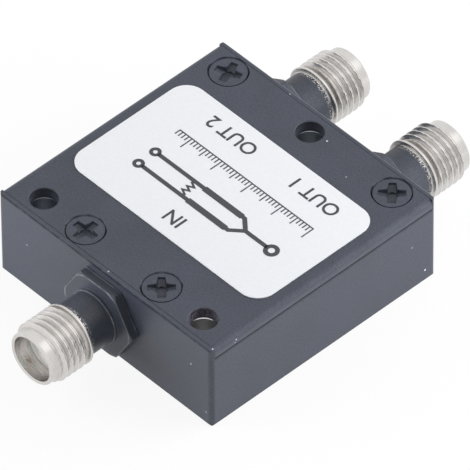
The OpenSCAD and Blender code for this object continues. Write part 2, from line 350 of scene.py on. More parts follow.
@dataclass(frozen=True)
class Line:
    """A straight line of colour along an edge or a seam, the same on the +X and the -X side. The block's
    lines are painted shade and painted highlights.

    Attributes:
        low: Lower corner of the space it fills, with X taken as a distance from the middle.
        high: Upper corner.
        colour: Its colour.
        strength: How far it covers the lacquer, from 0 to 1.
        broken: Share of the strength that comes and goes along it.
        run: Length over which it comes and goes.
        soft: Half the width of its soft edges.
    """

    low: Place
    high: Place
    colour: Colour
    strength: float
    broken: float
    run: float = 0.9 * MM
    soft: float = 0.04 * MM

    def mask(self, recipe: Recipe) -> Value:
        """A soft window along each axis, multiplied together and broken up by noise."""
        x, y, z = recipe.axes()
        there = recipe.noise(self.run, detail=3).rise(0.4, 0.6)
        mask = self.strength * (1 - self.broken + self.broken * there)
        for place, low, high in zip((x.math("ABSOLUTE", x), y, z), self.low, self.high):
            away = place.math("ABSOLUTE", place - (low + high) / 2)
            half = (high - low) / 2
            mask = mask * (1 - away.rise(half - self.soft, half + self.soft))
        return mask


@dataclass(frozen=True)
class Upright:
    """Something round that stands on an upright axis.

    Attributes:
        x: X of its axis.
        y: Y of its axis.
    """

    x: float
    y: float

    def radius(self, recipe: Recipe) -> Value:
        """Distance from the axis: the length of the level part of the way to it."""
        x, y, _ = recipe.axes()
        level = (x - self.x) * (x - self.x) + (y - self.y) * (y - self.y)
        return level.math("SQRT", level)


@dataclass(frozen=True)
class Groove(Upright):
    """Painted shade in the ring gap round a countersunk head.

    Attributes:
        inner: Inner radius.
        outer: Outer radius.
        colour: Its colour.
        soft: Half the width of its soft edges.
        run: Length over which lacquer has run into it and left it open again.
        filled: Share of its width that this lacquer takes.
        faint: Share of its darkness that this lacquer takes.
    """

    inner: float = 1.8 * MM
    outer: float = 1.97 * MM
    colour: Colour = SHADE
    soft: float = 0.02 * MM
    run: float = 1.1 * MM
    filled: float = 0.45
    faint: float = 0.6

    def mask(self, recipe: Recipe) -> Value:
        """1 between the two radii, where shade is painted, narrower and fainter where lacquer has run into
        the ring.
        """
        away = self.radius(recipe)
        opened = recipe.noise(self.run, detail=3).rise(0.36, 0.62)
        narrowed = away + (1 - opened) * (self.outer - self.inner) * self.filled
        outside = narrowed.rise(self.outer - self.soft, self.outer + self.soft)
        ring = away.rise(self.inner - self.soft, self.inner + self.soft) * (1 - outside)
        return ring * (1 - self.faint + self.faint * opened)


@dataclass(frozen=True)
class Corners:
    """Painted shade on the steep walls of the cross recesses, which the mesh attribute "corner" gives.

    Attributes:
        strength: How dark they are, from 0 to 1.
        colour: Their colour.
    """

    strength: float = 0.7
    colour: Colour = (0.015, 0.017, 0.023)

    def mask(self, recipe: Recipe) -> Value:
        """The attribute times the strength."""
        return recipe.attribute("corner") * self.strength


@dataclass(frozen=True)
class Bore(Upright):
    """The wall of a through hole: thin lacquer above the seam, painted paler with depth as reflected
    light, and grey metal below it with a painted highlight on the bevel at the seam.

    Attributes:
        outer: Radius that holds the wall.
        colour: Colour of the wall at the mouth.
        deep: Colour of the wall just above the seam, painted paler as light reflected up from the pale
            metal.
        grain: Share by which speckle darkens the wall.
        speckle: Size of the speckle.
        metal: Colour of the metal below the seam.
        bevel_colour: Colour of the painted highlight on the bare bevel at the seam.
        top: Height of the mouth.
        seam: Height of the seam.
        bright: Height of the painted highlight on the bevel, on the wall that faces front right.
        uneven: How far the rubbed bevel's height wanders.
        facing: Azimuth that this wall faces, in degrees.
    """

    outer: float = 1.36 * MM
    colour: Colour = (0.03, 0.033, 0.043)
    deep: Colour = (0.1, 0.11, 0.14)
    grain: float = 0.3
    speckle: float = 0.13 * MM
    metal: Colour = (0.46, 0.48, 0.53)
    bevel_colour: Colour = (0.2, 0.21, 0.23)
    top: float = 9.8 * MM
    seam: float = 8.6 * MM
    bright: float = 0.1 * MM
    uneven: float = 0.1 * MM
    facing: float = 46.87

    def mask(self, recipe: Recipe) -> Value:
        """1 on the wall and in the hole."""
        return 1 - self.radius(recipe).rise(self.outer, self.outer + 0.02 * MM)

    def wall(self, recipe: Recipe) -> Value:
        """Colour of the wall above the seam: painted paler with depth as light reflected up from the
        metal, and speckled.
        """
        depth = (self.top - recipe.axes()[2]) / (self.top - self.seam)
        wall = recipe.blend(depth.rise(0.05, 0.9), self.colour, self.deep)
        speckle = recipe.noise(self.speckle, detail=2).rise(0.62, 0.38) * self.grain
        return recipe.blend(speckle, wall, (0.0, 0.0, 0.0))

    def below(self, recipe: Recipe) -> Value:
        """1 on the wall below the seam."""
        return self.mask(recipe) * (1 - recipe.axes()[2].rise(self.seam - 0.01 * MM, self.seam))

    def bevel(self, recipe: Recipe) -> Value:
        """1 on the painted highlight at the bare bevel, a crescent whose height falls off to both sides of
        one direction.

        The middle of the crescent is where the cosine to that direction is 1, and its ends are
        where the cosine has fallen to a given value.

        Args:
            recipe: The recipe to add to.

        Returns:
            The mask.
        """
        x, y, z = recipe.axes()
        toward, end = direction(self.facing, 0), 0.45
        middle = ((self.x - x) * toward.x + (self.y - y) * toward.y) / self.outer
        wander = (recipe.noise(0.2 * MM) - 0.5) * self.uneven
        height = (middle - end) * self.bright / (1 - end) + wander
        bare = 1 - (self.seam - z - height).rise(-0.02 * MM, 0.02 * MM)
        return self.below(recipe) * bare * middle.rise(0.55, 0.8)

    def tilted(self, recipe: Recipe) -> Value:
        """Direction that the bevel faces: half towards the axis and half upwards."""
        x, y, _ = recipe.axes()
        return recipe.add("ShaderNodeCombineXYZ", sockets={
            0: (self.x - x) / self.outer, 1: (self.y - y) / self.outer, 2: 1.0})


@dataclass(frozen=True)
class Lacquer:
    """Satin dark lacquer with a faint orange peel.

    Attributes:
        name: Name of the material.
        colour: Its base colour.
        roughness: Mean roughness.
        cloud: Size of the faint lighter and darker clouds.
        peel: Size of the orange peel.
        peel_depth: Depth of the orange peel.
        peel_share: Share of the peel in the change of colour. The clouds have the rest.
        tone: Share by which the colour gets darker and lighter.
        marks: Dust on it, and painted shade and painted highlights along its seams, edges and rings.
        bores: Through holes in it, with painted light on their walls.
    """

    name: str
    colour: Colour = (0.0425, 0.0485, 0.067)
    roughness: float = 0.42
    cloud: float = 4 * MM
    peel: float = 0.2 * MM
    peel_depth: float = 0.003 * MM
    peel_share: float = 0.65
    tone: float = 0.25
    marks: tuple[Union[Speck, Line, Groove, Corners], ...] = ()
    bores: tuple[Bore, ...] = ()

    def paint(self, recipe: Recipe) -> tuple[Value, Value, Value]:
        """Adds the lacquer's nodes to a recipe.

        Args:
            recipe: The recipe to add to.

        Returns:
            Colour, roughness and height of the orange peel.
        """
        clouds = recipe.noise(self.cloud, detail=3)
        peel = recipe.noise(self.peel)
        change = clouds * (1 - self.peel_share) + peel * self.peel_share
        darker, lighter = scaled(self.colour, 1 - self.tone), scaled(self.colour, 1 + self.tone)
        colour = recipe.blend(change.rise(0.3, 0.7), darker, lighter)
        return colour, self.roughness + (clouds - 0.5) * 0.2, peel

    def material(self) -> bpy.types.Material:
        """Builds the material.

        The painted shade marks and the bare metal in the holes are metallic, so that a painted shade
        mark has no pale sheen of its own.

        Returns:
            The material.
        """
        recipe = Recipe.material(self.name)
        colour, roughness, peel = self.paint(recipe)
        normal = recipe.relief(peel, self.peel_depth)
        metallic: Term = 0.0
        for mark in self.marks:
            mask = mark.mask(recipe)
            colour = recipe.blend(mask, colour, mark.colour)
            # Painted shade marks are metallic, so they show no sheen
            if mark.colour == SHADE:
                metallic = mask + metallic
        for bore in self.bores:
            # Hole walls: painted reflected light above the seam, bare metal below it and a painted
            # highlight on the bevel
            below, bevel = bore.below(recipe), bore.bevel(recipe)
            colour = recipe.blend(bore.mask(recipe), colour, bore.wall(recipe))
            colour = recipe.blend(below, colour, bore.metal)
            colour = recipe.blend(bevel, colour, bore.bevel_colour)
            normal = recipe.lean(bevel, normal, bore.tilted(recipe))
            metallic = below + metallic
        if isinstance(metallic, Value):
            metallic = metallic.clipped()
        return recipe.surface(Base_Color=colour, Roughness=roughness, Metallic=metallic, Normal=normal)


@dataclass(frozen=True)
class PlatedJack:
    """Turned nickel plate with the block's lacquer run over its rear end.

    The mesh attribute "reach" is the distance along the surface from the foot of the collar,
    below 0 on the neck and the flange. The attribute "edge" is 1 on the edges of the flange and
    the shoulder, where the lacquer is thinned by rubbing and a highlight is painted. The attribute
    "crest" runs from 0 in the thread's roots to 1 on its crests; it places a painted highlight on
    the crests and painted shade in the roots.

    Attributes:
        name: Name of the material.
        lacquer: The lacquer on the rear end.
        nickel: Colour of the bare plate.
        shade: Colour of the plate where it is stained.
        roughness: Mean roughness of the plate.
        edge: Distance from the collar at which the lacquer ends.
        ragged: How far the lacquer's edge wanders.
        tool_mark: Spacing of the fine turning marks.
        depth: Depth of the turning marks and of the lacquer's peel.
        worn_and_lit: Colour of the lacquer on the edges, thinned by rubbing and with a painted highlight.
        polish_and_highlight: Colour of the thread's crests, partly polish and partly a painted highlight.
        root: Colour of the painted shade in the thread's roots.
    """

    name: str
    lacquer: Lacquer
    nickel: Colour = (0.68, 0.66, 0.64)
    shade: Colour = (0.54, 0.52, 0.5)
    roughness: float = 0.27
    edge: float = -0.2 * MM
    ragged: float = 0.6 * MM
    tool_mark: float = 0.05 * MM
    depth: float = 0.0018 * MM
    worn_and_lit: Colour = (0.25, 0.26, 0.28)
    polish_and_highlight: Colour = (0.95, 0.94, 0.92)
    root: Colour = (0.42, 0.4, 0.38)

    def turning(self, recipe: Recipe, reach: Value) -> Value:
        """Turning marks: noise that is fine along the surface and long around the axis.

        Args:
            recipe: The recipe to add to.
            reach: Distance along the surface.

        Returns:
            A number around 0.5.
        """
        stretch = recipe.add("ShaderNodeVectorMath", {"operation": "SCALE"},
                             {0: recipe.place(), "Scale": self.tool_mark / (2 * MM)})
        along = recipe.add("ShaderNodeCombineXYZ", sockets={0: reach, 1: reach})
        where = recipe.add("ShaderNodeVectorMath", {"operation": "ADD"}, {0: stretch, 1: along})
        return recipe.noise(self.tool_mark, detail=3, where=where)

    def bare(self, recipe: Recipe, reach: Value) -> Value:
        """Mask of the bare plate: 1 past the ragged edge of the lacquer, with loose flecks.

        Args:
            recipe: The recipe to add to.
            reach: Distance along the surface.

        Returns:
            The mask.
        """
        wander = (recipe.noise(0.22 * MM, detail=4) - 0.5) * self.ragged
        edge = (reach + wander).rise(self.edge - 0.02 * MM, self.edge + 0.02 * MM)
        flecks = recipe.noise(0.11 * MM, detail=1).rise(0.56, 0.6)
        near = reach.rise(-0.6 * MM, -0.3 * MM)
        return edge.larger(flecks * near)

    def material(self) -> bpy.types.Material:
        """Builds the material."""
        recipe = Recipe.material(self.name)
        reach = recipe.attribute("reach")
        paint, paint_roughness, peel = self.lacquer.paint(recipe)
        bare = self.bare(recipe, reach)
        marks = self.turning(recipe, reach)
        blotches = recipe.noise(1.3 * MM, detail=5).rise(0.42, 0.75)
        stain = blotches * 0.45 + marks.rise(0.55, 0.8) * 0.4
        plate = recipe.blend(stain, self.nickel, self.shade)
        crest = recipe.attribute("crest")
        # Painted highlight on the crests, partly standing for polish, and painted shade in the roots
        plate = recipe.blend(crest.rise(0.92, 0.99) * (stain * 0.8 + 0.3), plate, self.polish_and_highlight)
        plate = recipe.blend((1 - crest.rise(0.02, 0.3)) * 0.35, plate, self.root)
        plate_roughness = self.roughness + (marks - 0.5) * 0.25
        height = bare * marks + (1 - bare) * peel
        # Pale edges: lacquer thinned by rubbing, with a painted highlight along the flange's and
        # shoulder's rims
        patches = recipe.noise(1.2 * MM, detail=4).rise(0.44, 0.6)
        rubbed_and_lit = recipe.attribute("edge") * (0.25 + 0.75 * patches)
        paint = recipe.blend(rubbed_and_lit, paint, self.worn_and_lit)
        return recipe.surface(
            Base_Color=recipe.blend(bare, paint, plate),
            Roughness=paint_roughness + (plate_roughness - paint_roughness) * bare,
            Metallic=bare,
            Normal=recipe.relief(height, self.depth),
        )


@dataclass(frozen=True)
class Film:
    """White label film with a faint mottle, or ink printed on it.

    Attributes:
        name: Name of the material.
        colour: Base colour.
        roughness: Mean roughness.
        mottle: Share by which the colour varies.
    """

    name: str
    colour: Colour
    roughness: float = 0.4
    mottle: float = 0.03

    def material(self) -> bpy.types.Material:
        """Builds the material."""
        recipe = Recipe.material(self.name)
        grain = recipe.noise(0.25 * MM, detail=3)
        darker = scaled(self.colour, 1 - self.mottle)
        return recipe.surface(
            Base_Color=recipe.blend(grain.rise(0.3, 0.7), darker, self.colour),
            Roughness=self.roughness + (grain - 0.5) * 0.15,
            Normal=recipe.relief(grain, 0.001 * MM),
        )


@dataclass(frozen=True)
class Laminate:
    """Cream circuit board laminate with its glass cloth showing through.

    Attributes:
        name: Name of the material.
        resin: Colour between the strands.
        strand: Colour of the strands.
        cloth: Spacing of the strands.
    """

    name: str
    resin: Colour = (0.62, 0.57, 0.42)
    strand: Colour = (0.78, 0.74, 0.6)
    cloth: float = 0.5 * MM

    def material(self) -> bpy.types.Material:
        """Builds the material."""
        recipe = Recipe.material(self.name)
        across, along, _ = recipe.axes()
        rate = math.tau / self.cloth
        weave = across.math("SINE", across * rate) * along.math("SINE", along * rate)
        strands = weave * 0.5 + 0.5
        return recipe.surface(
            Base_Color=recipe.blend(strands, self.resin, self.strand),
            Roughness=0.45 + strands * 0.15,
            Normal=recipe.relief(strands, 0.006 * MM),
        )


@dataclass(frozen=True)
class Metal:
    """Plain metal with fine marks.

    Attributes:
        name: Name of the material.
        colour: Colour of the clean metal.
        tarnish: Colour where it has dulled.
        roughness: Mean roughness.
        mark: Size of the marks.
    """

    name: str
    colour: Colour
    tarnish: Colour
    roughness: float = 0.3
    mark: float = 0.12 * MM

    def material(self) -> bpy.types.Material:
        """Builds the material."""
        recipe = Recipe.material(self.name)
        marks = recipe.noise(self.mark, detail=4)
        patches = recipe.noise(self.mark * 8, detail=3).rise(0.4, 0.75)
        return recipe.surface(
            Base_Color=recipe.blend(patches, self.colour, self.tarnish),
            Roughness=self.roughness + (marks - 0.5) * 0.3,
            Metallic=1.0,
            Normal=recipe.relief(marks, 0.002 * MM),
        )


@dataclass(frozen=True)
class Moulded:
    """Matt plastic or ceramic with a fine grain.

    Attributes:
        name: Name of the material.
        colour: Base colour.
        roughness: Mean roughness.
        mottle: Share by which the colour varies.
        glow: Share of the light that spreads under the surface.
    """

    name: str
    colour: Colour
    roughness: float = 0.55
    mottle: float = 0.08
    glow: float = 0.0

    def material(self) -> bpy.types.Material:
        """Builds the material."""
        recipe = Recipe.material(self.name)
        grain = recipe.noise(0.1 * MM, detail=4)
        darker = scaled(self.colour, 1 - self.mottle)
        return recipe.surface(
            Base_Color=recipe.blend(grain.rise(0.3, 0.7), darker, self.colour),
            Roughness=self.roughness + (grain - 0.5) * 0.2,
            Subsurface_Weight=self.glow,
            Subsurface_Scale=0.3 * MM,
            Normal=recipe.relief(grain, 0.003 * MM),
        )


def skin(name: str, points: np.ndarray, around: bool = True, along: bool = False,
         marks: dict[str, np.ndarray] | None = None) -> bpy.types.Object:
    """Makes a mesh from a grid of points.

    Neighbouring points of the grid become the corners of one four-sided face. Rows that shrink to
    one point close a pole, because equal points are merged.

    Args:
        name: Name of the object.
        points: Array of rows by columns by three.
        around: Whether the last column joins the first.
        along: Whether the last row joins the first.
        marks: Arrays of rows by columns, kept on the points as attributes.

    Returns:
        The object.
    """
    rows, columns = points.shape[:2]
    row = np.arange(rows if along else rows - 1)[:, None]
    column = np.arange(columns if around else columns - 1)[None, :]
    next_row, next_column = (row + 1) % rows, (column + 1) % columns
    corners = [row * columns + column, row * columns + next_column,
               next_row * columns + next_column, next_row * columns + column]
    faces = np.stack(np.broadcast_arrays(*corners), axis=-1).reshape(-1, 4)
    mesh = bpy.data.meshes.new(name)
    mesh.vertices.add(rows * columns)
    mesh.vertices.foreach_set("co", points.astype(np.float32).ravel())
    mesh.loops.add(faces.size)
    mesh.loops.foreach_set("vertex_index", faces.astype(np.int32).ravel())
    mesh.polygons.add(len(faces))
    mesh.polygons.foreach_set("loop_start", np.arange(0, faces.size, 4, dtype=np.int32))
    for key, numbers in (marks or {}).items():
        layer = mesh.attributes.new(key, "FLOAT", "POINT")
        spread = np.broadcast_to(numbers, (rows, columns))
        layer.data.foreach_set("value", spread.astype(np.float32).ravel())
    mesh.update(calc_edges=True)
    return tidy(name, mesh)


def tidy(name: str, mesh: bpy.types.Mesh, sharp: float = math.radians(32)) -> bpy.types.Object:
    """Merges equal points, turns the faces outwards and shades the mesh smooth.

    Args:
        name: Name of the object.
        mesh: The mesh.
        sharp: Angle past which an edge stays sharp.

    Returns:
        A new object with the mesh.
    """
    work = bmesh.new()
    work.from_mesh(mesh)
    bmesh.ops.remove_doubles(work, verts=work.verts, dist=0.0002 * MM)
    bmesh.ops.recalc_face_normals(work, faces=work.faces)
    work.to_mesh(mesh)
    work.free()
    mesh.shade_smooth()
    mesh.set_sharp_from_angle(angle=sharp)
    piece = bpy.data.objects.new(name, mesh)
    bpy.context.scene.collection.objects.link(piece)
    return piece


def joined(name: str, pieces: list[bpy.types.Object]) -> bpy.types.Object:
    """Joins objects that sit at the origin into one.

    Args:
        name: Name of the joined object.
        pieces: The objects.

    Returns:
        The joined object.
    """
    with bpy.context.temp_override(active_object=pieces[0], selected_editable_objects=pieces):
        bpy.ops.object.join()
    pieces[0].name = name
    return pieces[0]


def dress(piece: bpy.types.Object, material: bpy.types.Material) -> None:
    """Gives an object one material."""
    piece.data.materials.clear()
    piece.data.materials.append(material)


def seat(piece: bpy.types.Object, slot: str, *nodes: str) -> None:
    """Makes a new piece ride on the block and hides the CAD nodes that it replaces.

    Args:
        piece: The piece.
        slot: The record's material slot; not used.
        *nodes: CAD nodes that it stands for.
    """
    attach(piece, BODY)
    if nodes:
        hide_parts(*nodes)
    LOG.info("%s: %d faces", piece.name, len(piece.data.polygons))


def softened(corners: np.ndarray, radius: float, steps: int = 5) -> np.ndarray:
    """Rounds the inner corners of an open outline.

    Each corner becomes a parabola that leaves the outline one radius before the corner, or at a
    third of the side where that is shorter, and meets it again as far behind.

    Args:
        corners: Array of corners by two.
        radius: How far from each corner the rounding begins.
        steps: Points in each rounding.

    Returns:
        Array of points by two.
    """
    before, corner, after = corners[:-2], corners[1:-1], corners[2:]
    back, ahead = before - corner, after - corner
    back_len = np.linalg.norm(back, axis=1, keepdims=True)
    ahead_len = np.linalg.norm(ahead, axis=1, keepdims=True)
    start = corner + back / back_len * np.minimum(radius, back_len / 3)
    end = corner + ahead / ahead_len * np.minimum(radius, ahead_len / 3)
    t = np.linspace(0, 1, steps)[None, :, None]
    arcs = (1 - t) ** 2 * start[:, None] + 2 * t * (1 - t) * corner[:, None] + t ** 2 * end[:, None]
    return np.concatenate([corners[:1], arcs.reshape(-1, 2), corners[-1:]])


# Shares of the pitch that a crest's flat top and each of its flanks take
CREST_SHARE = 1 / 8
FLANK_SHARE = 5 / 16


class Facing(Enum):
    """The way a jack points, as the sign of Y."""

    INPUT = -1
    OUTPUT = 1


@dataclass
class Jack:
    """One turned jack: hexagonal flange, neck, collar, coupling thread, pilot and mouth.

    Stations run along the axis from the wall outwards.

    Attributes:
        port: Name of the jack's port.
        facing: The way it points.
        flange_turn: Turn of the flange's hexagon in degrees.
        flange_af: Flange across its flats.
        flange_t: Thickness of the flange.
        face_d: Diameter that the flange's corners are turned down to.
        flange_break: Edge break round the flange's flats.
        shoulder_d: Diameter of the low shoulder.
        shoulder_t: Height of the low shoulder.
        neck_d: Diameter of the neck.
        spigot_d: Diameter of the spigot inside the wall.
        thread_d: Outer diameter of the thread.
        pitch: Pitch of the thread.
        turns: Number of crests.
        pilot_len: Distance from the front to the middle of the last crest.
        pilot_d: Diameter of the pilot.
        collar_w: Width of the collar.
        relief_w: Width of the relief groove.
        bevel: Bevel on the front edge.
        mouth_d: Diameter of the mouth.
        mouth_depth: Depth of the mouth.
        mouth_bevel: Bevel on the mouth's edge.
        bore_d: Diameter of the bore for the insulator.
        fillet: Reach of the rounded corners outside.
        mouth_fillet: Reach of the rounded corners at the mouth.
        rubbed_and_lit: Width of the pale strip along a rim, where the lacquer is thinned by rubbing and a
            highlight is painted.
        crest_angle: Angle of the side that faces up, at which a crest ends the thread.
        columns: Points around the axis.
        rows_per_turn: Rows of points in one pitch.
    """

    port: str
    facing: Facing
    flange_turn: float
    flange_af: float = 7.9 * MM
    flange_t: float = 1.0 * MM
    face_d: float = 8.4 * MM
    flange_break: float = 0.07 * MM
    shoulder_d: float = 5.66 * MM
    shoulder_t: float = 0.34 * MM
    neck_d: float = 5.44 * MM
    spigot_d: float = 5.0 * MM
    thread_d: float = 6.27 * MM
    pitch: float = 0.7056 * MM
    turns: int = 5
    pilot_len: float = 1.2 * MM
    pilot_d: float = 5.4 * MM
    collar_w: float = 0.3 * MM
    relief_w: float = 0.22 * MM
    bevel: float = 0.14 * MM
    mouth_d: float = 4.6 * MM
    mouth_depth: float = 1.93 * MM
    mouth_bevel: float = 0.1 * MM
    bore_d: float = 4.1 * MM
    fillet: float = 0.06 * MM
    mouth_fillet: float = 0.05 * MM
    rubbed_and_lit: float = 0.06 * MM
    crest_angle: float = math.pi / 2
    columns: int = 192
    rows_per_turn: int = 24

    def __post_init__(self) -> None:
        """Reads the jack's place and length from the frame."""
        low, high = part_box(f"{self.port}_jack")
        wall_low, wall_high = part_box("housing")
        sign = self.facing.value
        self.wall = wall_high.y if sign > 0 else wall_low.y
        tip, tail = (high.y, low.y) if sign > 0 else (low.y, high.y)
        self.length = (tip - self.wall) * sign
        self.spigot_len = (self.wall - tail) * sign
        self.axis_x = (low.x + high.x) / 2
        self.axis_z = (low.z + high.z) / 2

    @property
    def thread_span(self) -> tuple[float, float]:
        """Stations at which the thread begins and ends."""
        last = self.length - self.pilot_len
        half_form = self.pitch * (CREST_SHARE / 2 + FLANK_SHARE)
        return last - (self.turns - 1) * self.pitch - half_form, last + half_form

    @property
    def form_depth(self) -> float:
        """Height of a crest over the root, with flanks at 60 degrees to the axis."""
        return self.pitch * FLANK_SHARE * math.tan(math.pi / 3)

    @property
    def collar_back(self) -> float:
        """Station of the collar's rear face."""
        return self.thread_span[0] - self.relief_w - self.collar_w

    def rear_outline(self) -> np.ndarray:
        """Outline from the flange's rear face to the relief groove.

        Returns:
            Array of [station, radius].
        """
        corner = self.flange_af / 2 / math.cos(math.pi / 6)
        face, shoulder, neck = self.face_d / 2, self.shoulder_d / 2, self.neck_d / 2
        crest, bevel = self.thread_d / 2, self.collar_w / 5
        top = self.flange_t + self.shoulder_t
        back, front = self.collar_back, self.collar_back + self.collar_w
        rim, cone_rows, face_rows = 0.15 * MM, 14, 12
        turned = np.linspace(corner, face, cone_rows)
        slope = (turned - face) * math.tan(math.pi / 6)
        turned_down = np.stack([self.flange_t - slope, turned], axis=1)
        foot = np.array([[0, self.spigot_d / 2], [0, corner], [self.flange_break, corner],
                         [self.flange_break * 1.4, corner], [self.flange_break + rim, corner]])
        rings = np.linspace(face, face - 4 * rim, face_rows)
        front_face = np.stack([np.full_like(rings, self.flange_t), rings], axis=1)
        rest = np.array([
            [self.flange_t, face - 5 * rim], [self.flange_t, shoulder], [top - rim, shoulder],
            [top, shoulder], [top, neck], [top + rim, neck], [back, neck], [back, crest - bevel],
            [back + bevel, crest], [front - bevel, crest], [front, crest - bevel], [front, neck],
            [self.thread_span[0], neck],
        ])
        return np.concatenate([foot, turned_down[:-1], front_face, softened(rest, self.fillet)])

    def front_outline(self) -> np.ndarray:
        """Outline from the pilot round the rim, down the mouth and the bore, and to the spigot.

        Returns:
            Array of [station, radius].
        """
        pilot, mouth, bore = self.pilot_d / 2, self.mouth_d / 2, self.bore_d / 2
        spigot, floor, lip = self.spigot_d / 2, self.length - self.mouth_depth, self.mouth_bevel
        corners = np.array([
            [self.thread_span[1], pilot], [self.length - self.bevel, pilot],
            [self.length, pilot - self.bevel], [self.length, mouth + lip],
            [self.length - lip, mouth], [floor, mouth], [floor, bore], [-self.spigot_len, bore],
            [-self.spigot_len, spigot], [-self.mouth_fillet, spigot],
        ])
        return softened(corners, self.mouth_fillet)

    def thread_radius(self, station: np.ndarray, angle: np.ndarray) -> np.ndarray:
        """Radius of the coupling thread.

        The form repeats every pitch along the axis and moves on by one pitch in a turn, which
        makes a right-handed helix. In one pitch the radius is a flat crest an eighth wide, two
        flanks of five sixteenths and a flat root. A cone at each end cuts the crests off.

        Args:
            station: Stations along the axis.
            angle: Angles round it.

        Returns:
            Radii.
        """
        start, end = self.thread_span
        half_form = CREST_SHARE / 2 + FLANK_SHARE
        rounding, front_slope, back_slope = 0.035, 1.4, 2.5
        turn = (angle - self.crest_angle) / math.tau
        shift = (station - end) / self.pitch - turn - half_form
        away = np.abs((shift + 0.5) % 1 - 0.5)
        height = np.clip((half_form - away) / FLANK_SHARE, 0, 1)
        rounded = height + rounding * np.sin(height * math.tau)
        helix = self.thread_d / 2 - self.form_depth + self.form_depth * rounded
        front_cone = self.pilot_d / 2 + np.maximum(end - station, 0) * front_slope
        back_cone = self.neck_d / 2 + np.maximum(station - start, 0) * back_slope
        return np.minimum(np.minimum(helix, front_cone), back_cone)

    def wear_and_highlight(self, station: np.ndarray, radius: np.ndarray) -> np.ndarray:
        """How far each point is thinned by rubbing and painted with a highlight: a bell over the distance
        to the nearest of three rims.

        The rims are the flange's front and rear rim, which follow its outline, and the shoulder's.

        Args:
            station: Stations of the grid.
            radius: Radii of the grid.

        Returns:
            Numbers from 0 to 1.
        """
        outline = radius[np.argmax(station[:, 0] > self.flange_break * 1.2)]
        face = np.minimum(outline, self.face_d / 2)
        rims = ((self.flange_t, face), (self.flange_break, outline),
                (self.flange_t + self.shoulder_t, np.full_like(face, self.shoulder_d / 2)))
        away = [np.hypot(station - along, radius - out) for along, out in rims]
        return np.exp(-(np.min(away, axis=0) / self.rubbed_and_lit) ** 2)

    def hexagon(self, angle: np.ndarray) -> np.ndarray:
        """Radius of a hexagon with softened corners.

        The radius is the half width over flats divided by a power mean of the cosines to its six
        faces, so that each face is flat and each corner is round.

        Args:
            angle: Angles round the axis.

        Returns:
            Radii.
        """
        sharpness = 70
        faces = math.radians(self.flange_turn + 30) + np.arange(6) * math.pi / 3
        cosines = np.maximum(np.cos(angle[..., None] - faces), 0)
        return self.flange_af / 2 / (cosines ** sharpness).sum(-1) ** (1 / sharpness)

    def build(self) -> bpy.types.Object:
        """Builds the jack.

        The outline is carried round the axis, with the thread and the flange as its two
        departures from round. Away from the thread the attribute "crest" is a plain value between
        root and crest.

        Returns:
            The jack.
        """
        rear, front = self.rear_outline(), self.front_outline()
        start, end = self.thread_span
        hair, plain = 0.01 * MM, 0.6
        stations = np.linspace(start, end, int(self.rows_per_turn * (end - start) / self.pitch))
        thread = np.stack([stations, np.full_like(stations, self.thread_d / 2)], axis=1)
        outline = np.concatenate([rear, thread[1:-1], front])
        angle = np.linspace(0, math.tau, self.columns, endpoint=False)[None, :]
        station = np.repeat(outline[:, :1], self.columns, axis=1)
        edge = np.maximum(self.flange_break - outline[:, 0],
                          outline[:, 0] - self.flange_t + self.flange_break)
        flats = self.hexagon(angle) - np.maximum(edge, 0)[:, None]
        flats = np.where(outline[:, :1] > self.flange_t + hair, self.thread_d, flats)
        radius = np.minimum(outline[:, 1:], flats)
        rows = slice(len(rear), len(rear) + len(thread) - 2)
        radius[rows] = self.thread_radius(station[rows], angle)
        reach = np.concatenate([[0], np.cumsum(np.linalg.norm(np.diff(outline, axis=0), axis=1))])
        collar = np.argmax(station[:, 0] > self.collar_back - hair)
        sign = self.facing.value
        side = radius * np.cos(angle) * -sign
        points = np.stack([self.axis_x + side, self.wall + sign * station,
                           self.axis_z + radius * np.sin(angle)], axis=-1)
        crest = np.full_like(radius, plain)
        crest[rows] = np.clip(1 - (self.thread_d / 2 - radius[rows]) / self.form_depth, 0, 1)
        marks = {"reach": (reach - reach[collar])[:, None], "edge": self.wear_and_highlight(station, radius),
                 "crest": crest}
        return skin(f"{self.port}_jack_turned", points, along=True, marks=marks)

    def dress(self, plate: bpy.types.Material, insulator: bpy.types.Material,
              contact: bpy.types.Material) -> None:
        """Builds the jack, seats it and dresses its insulator and contact.

        Args:
            plate: Finish of the jack.
            insulator: Finish of the insulator.
            contact: Finish of the contact.
        """
        turned = self.build()
        dress(turned, plate)
        seat(turned, "nickel", f"{self.port}_jack")
        dress(frame["nodes"][f"{self.port}_insulator"], insulator)
        dress(frame["nodes"][f"{self.port}_contact"], contact)


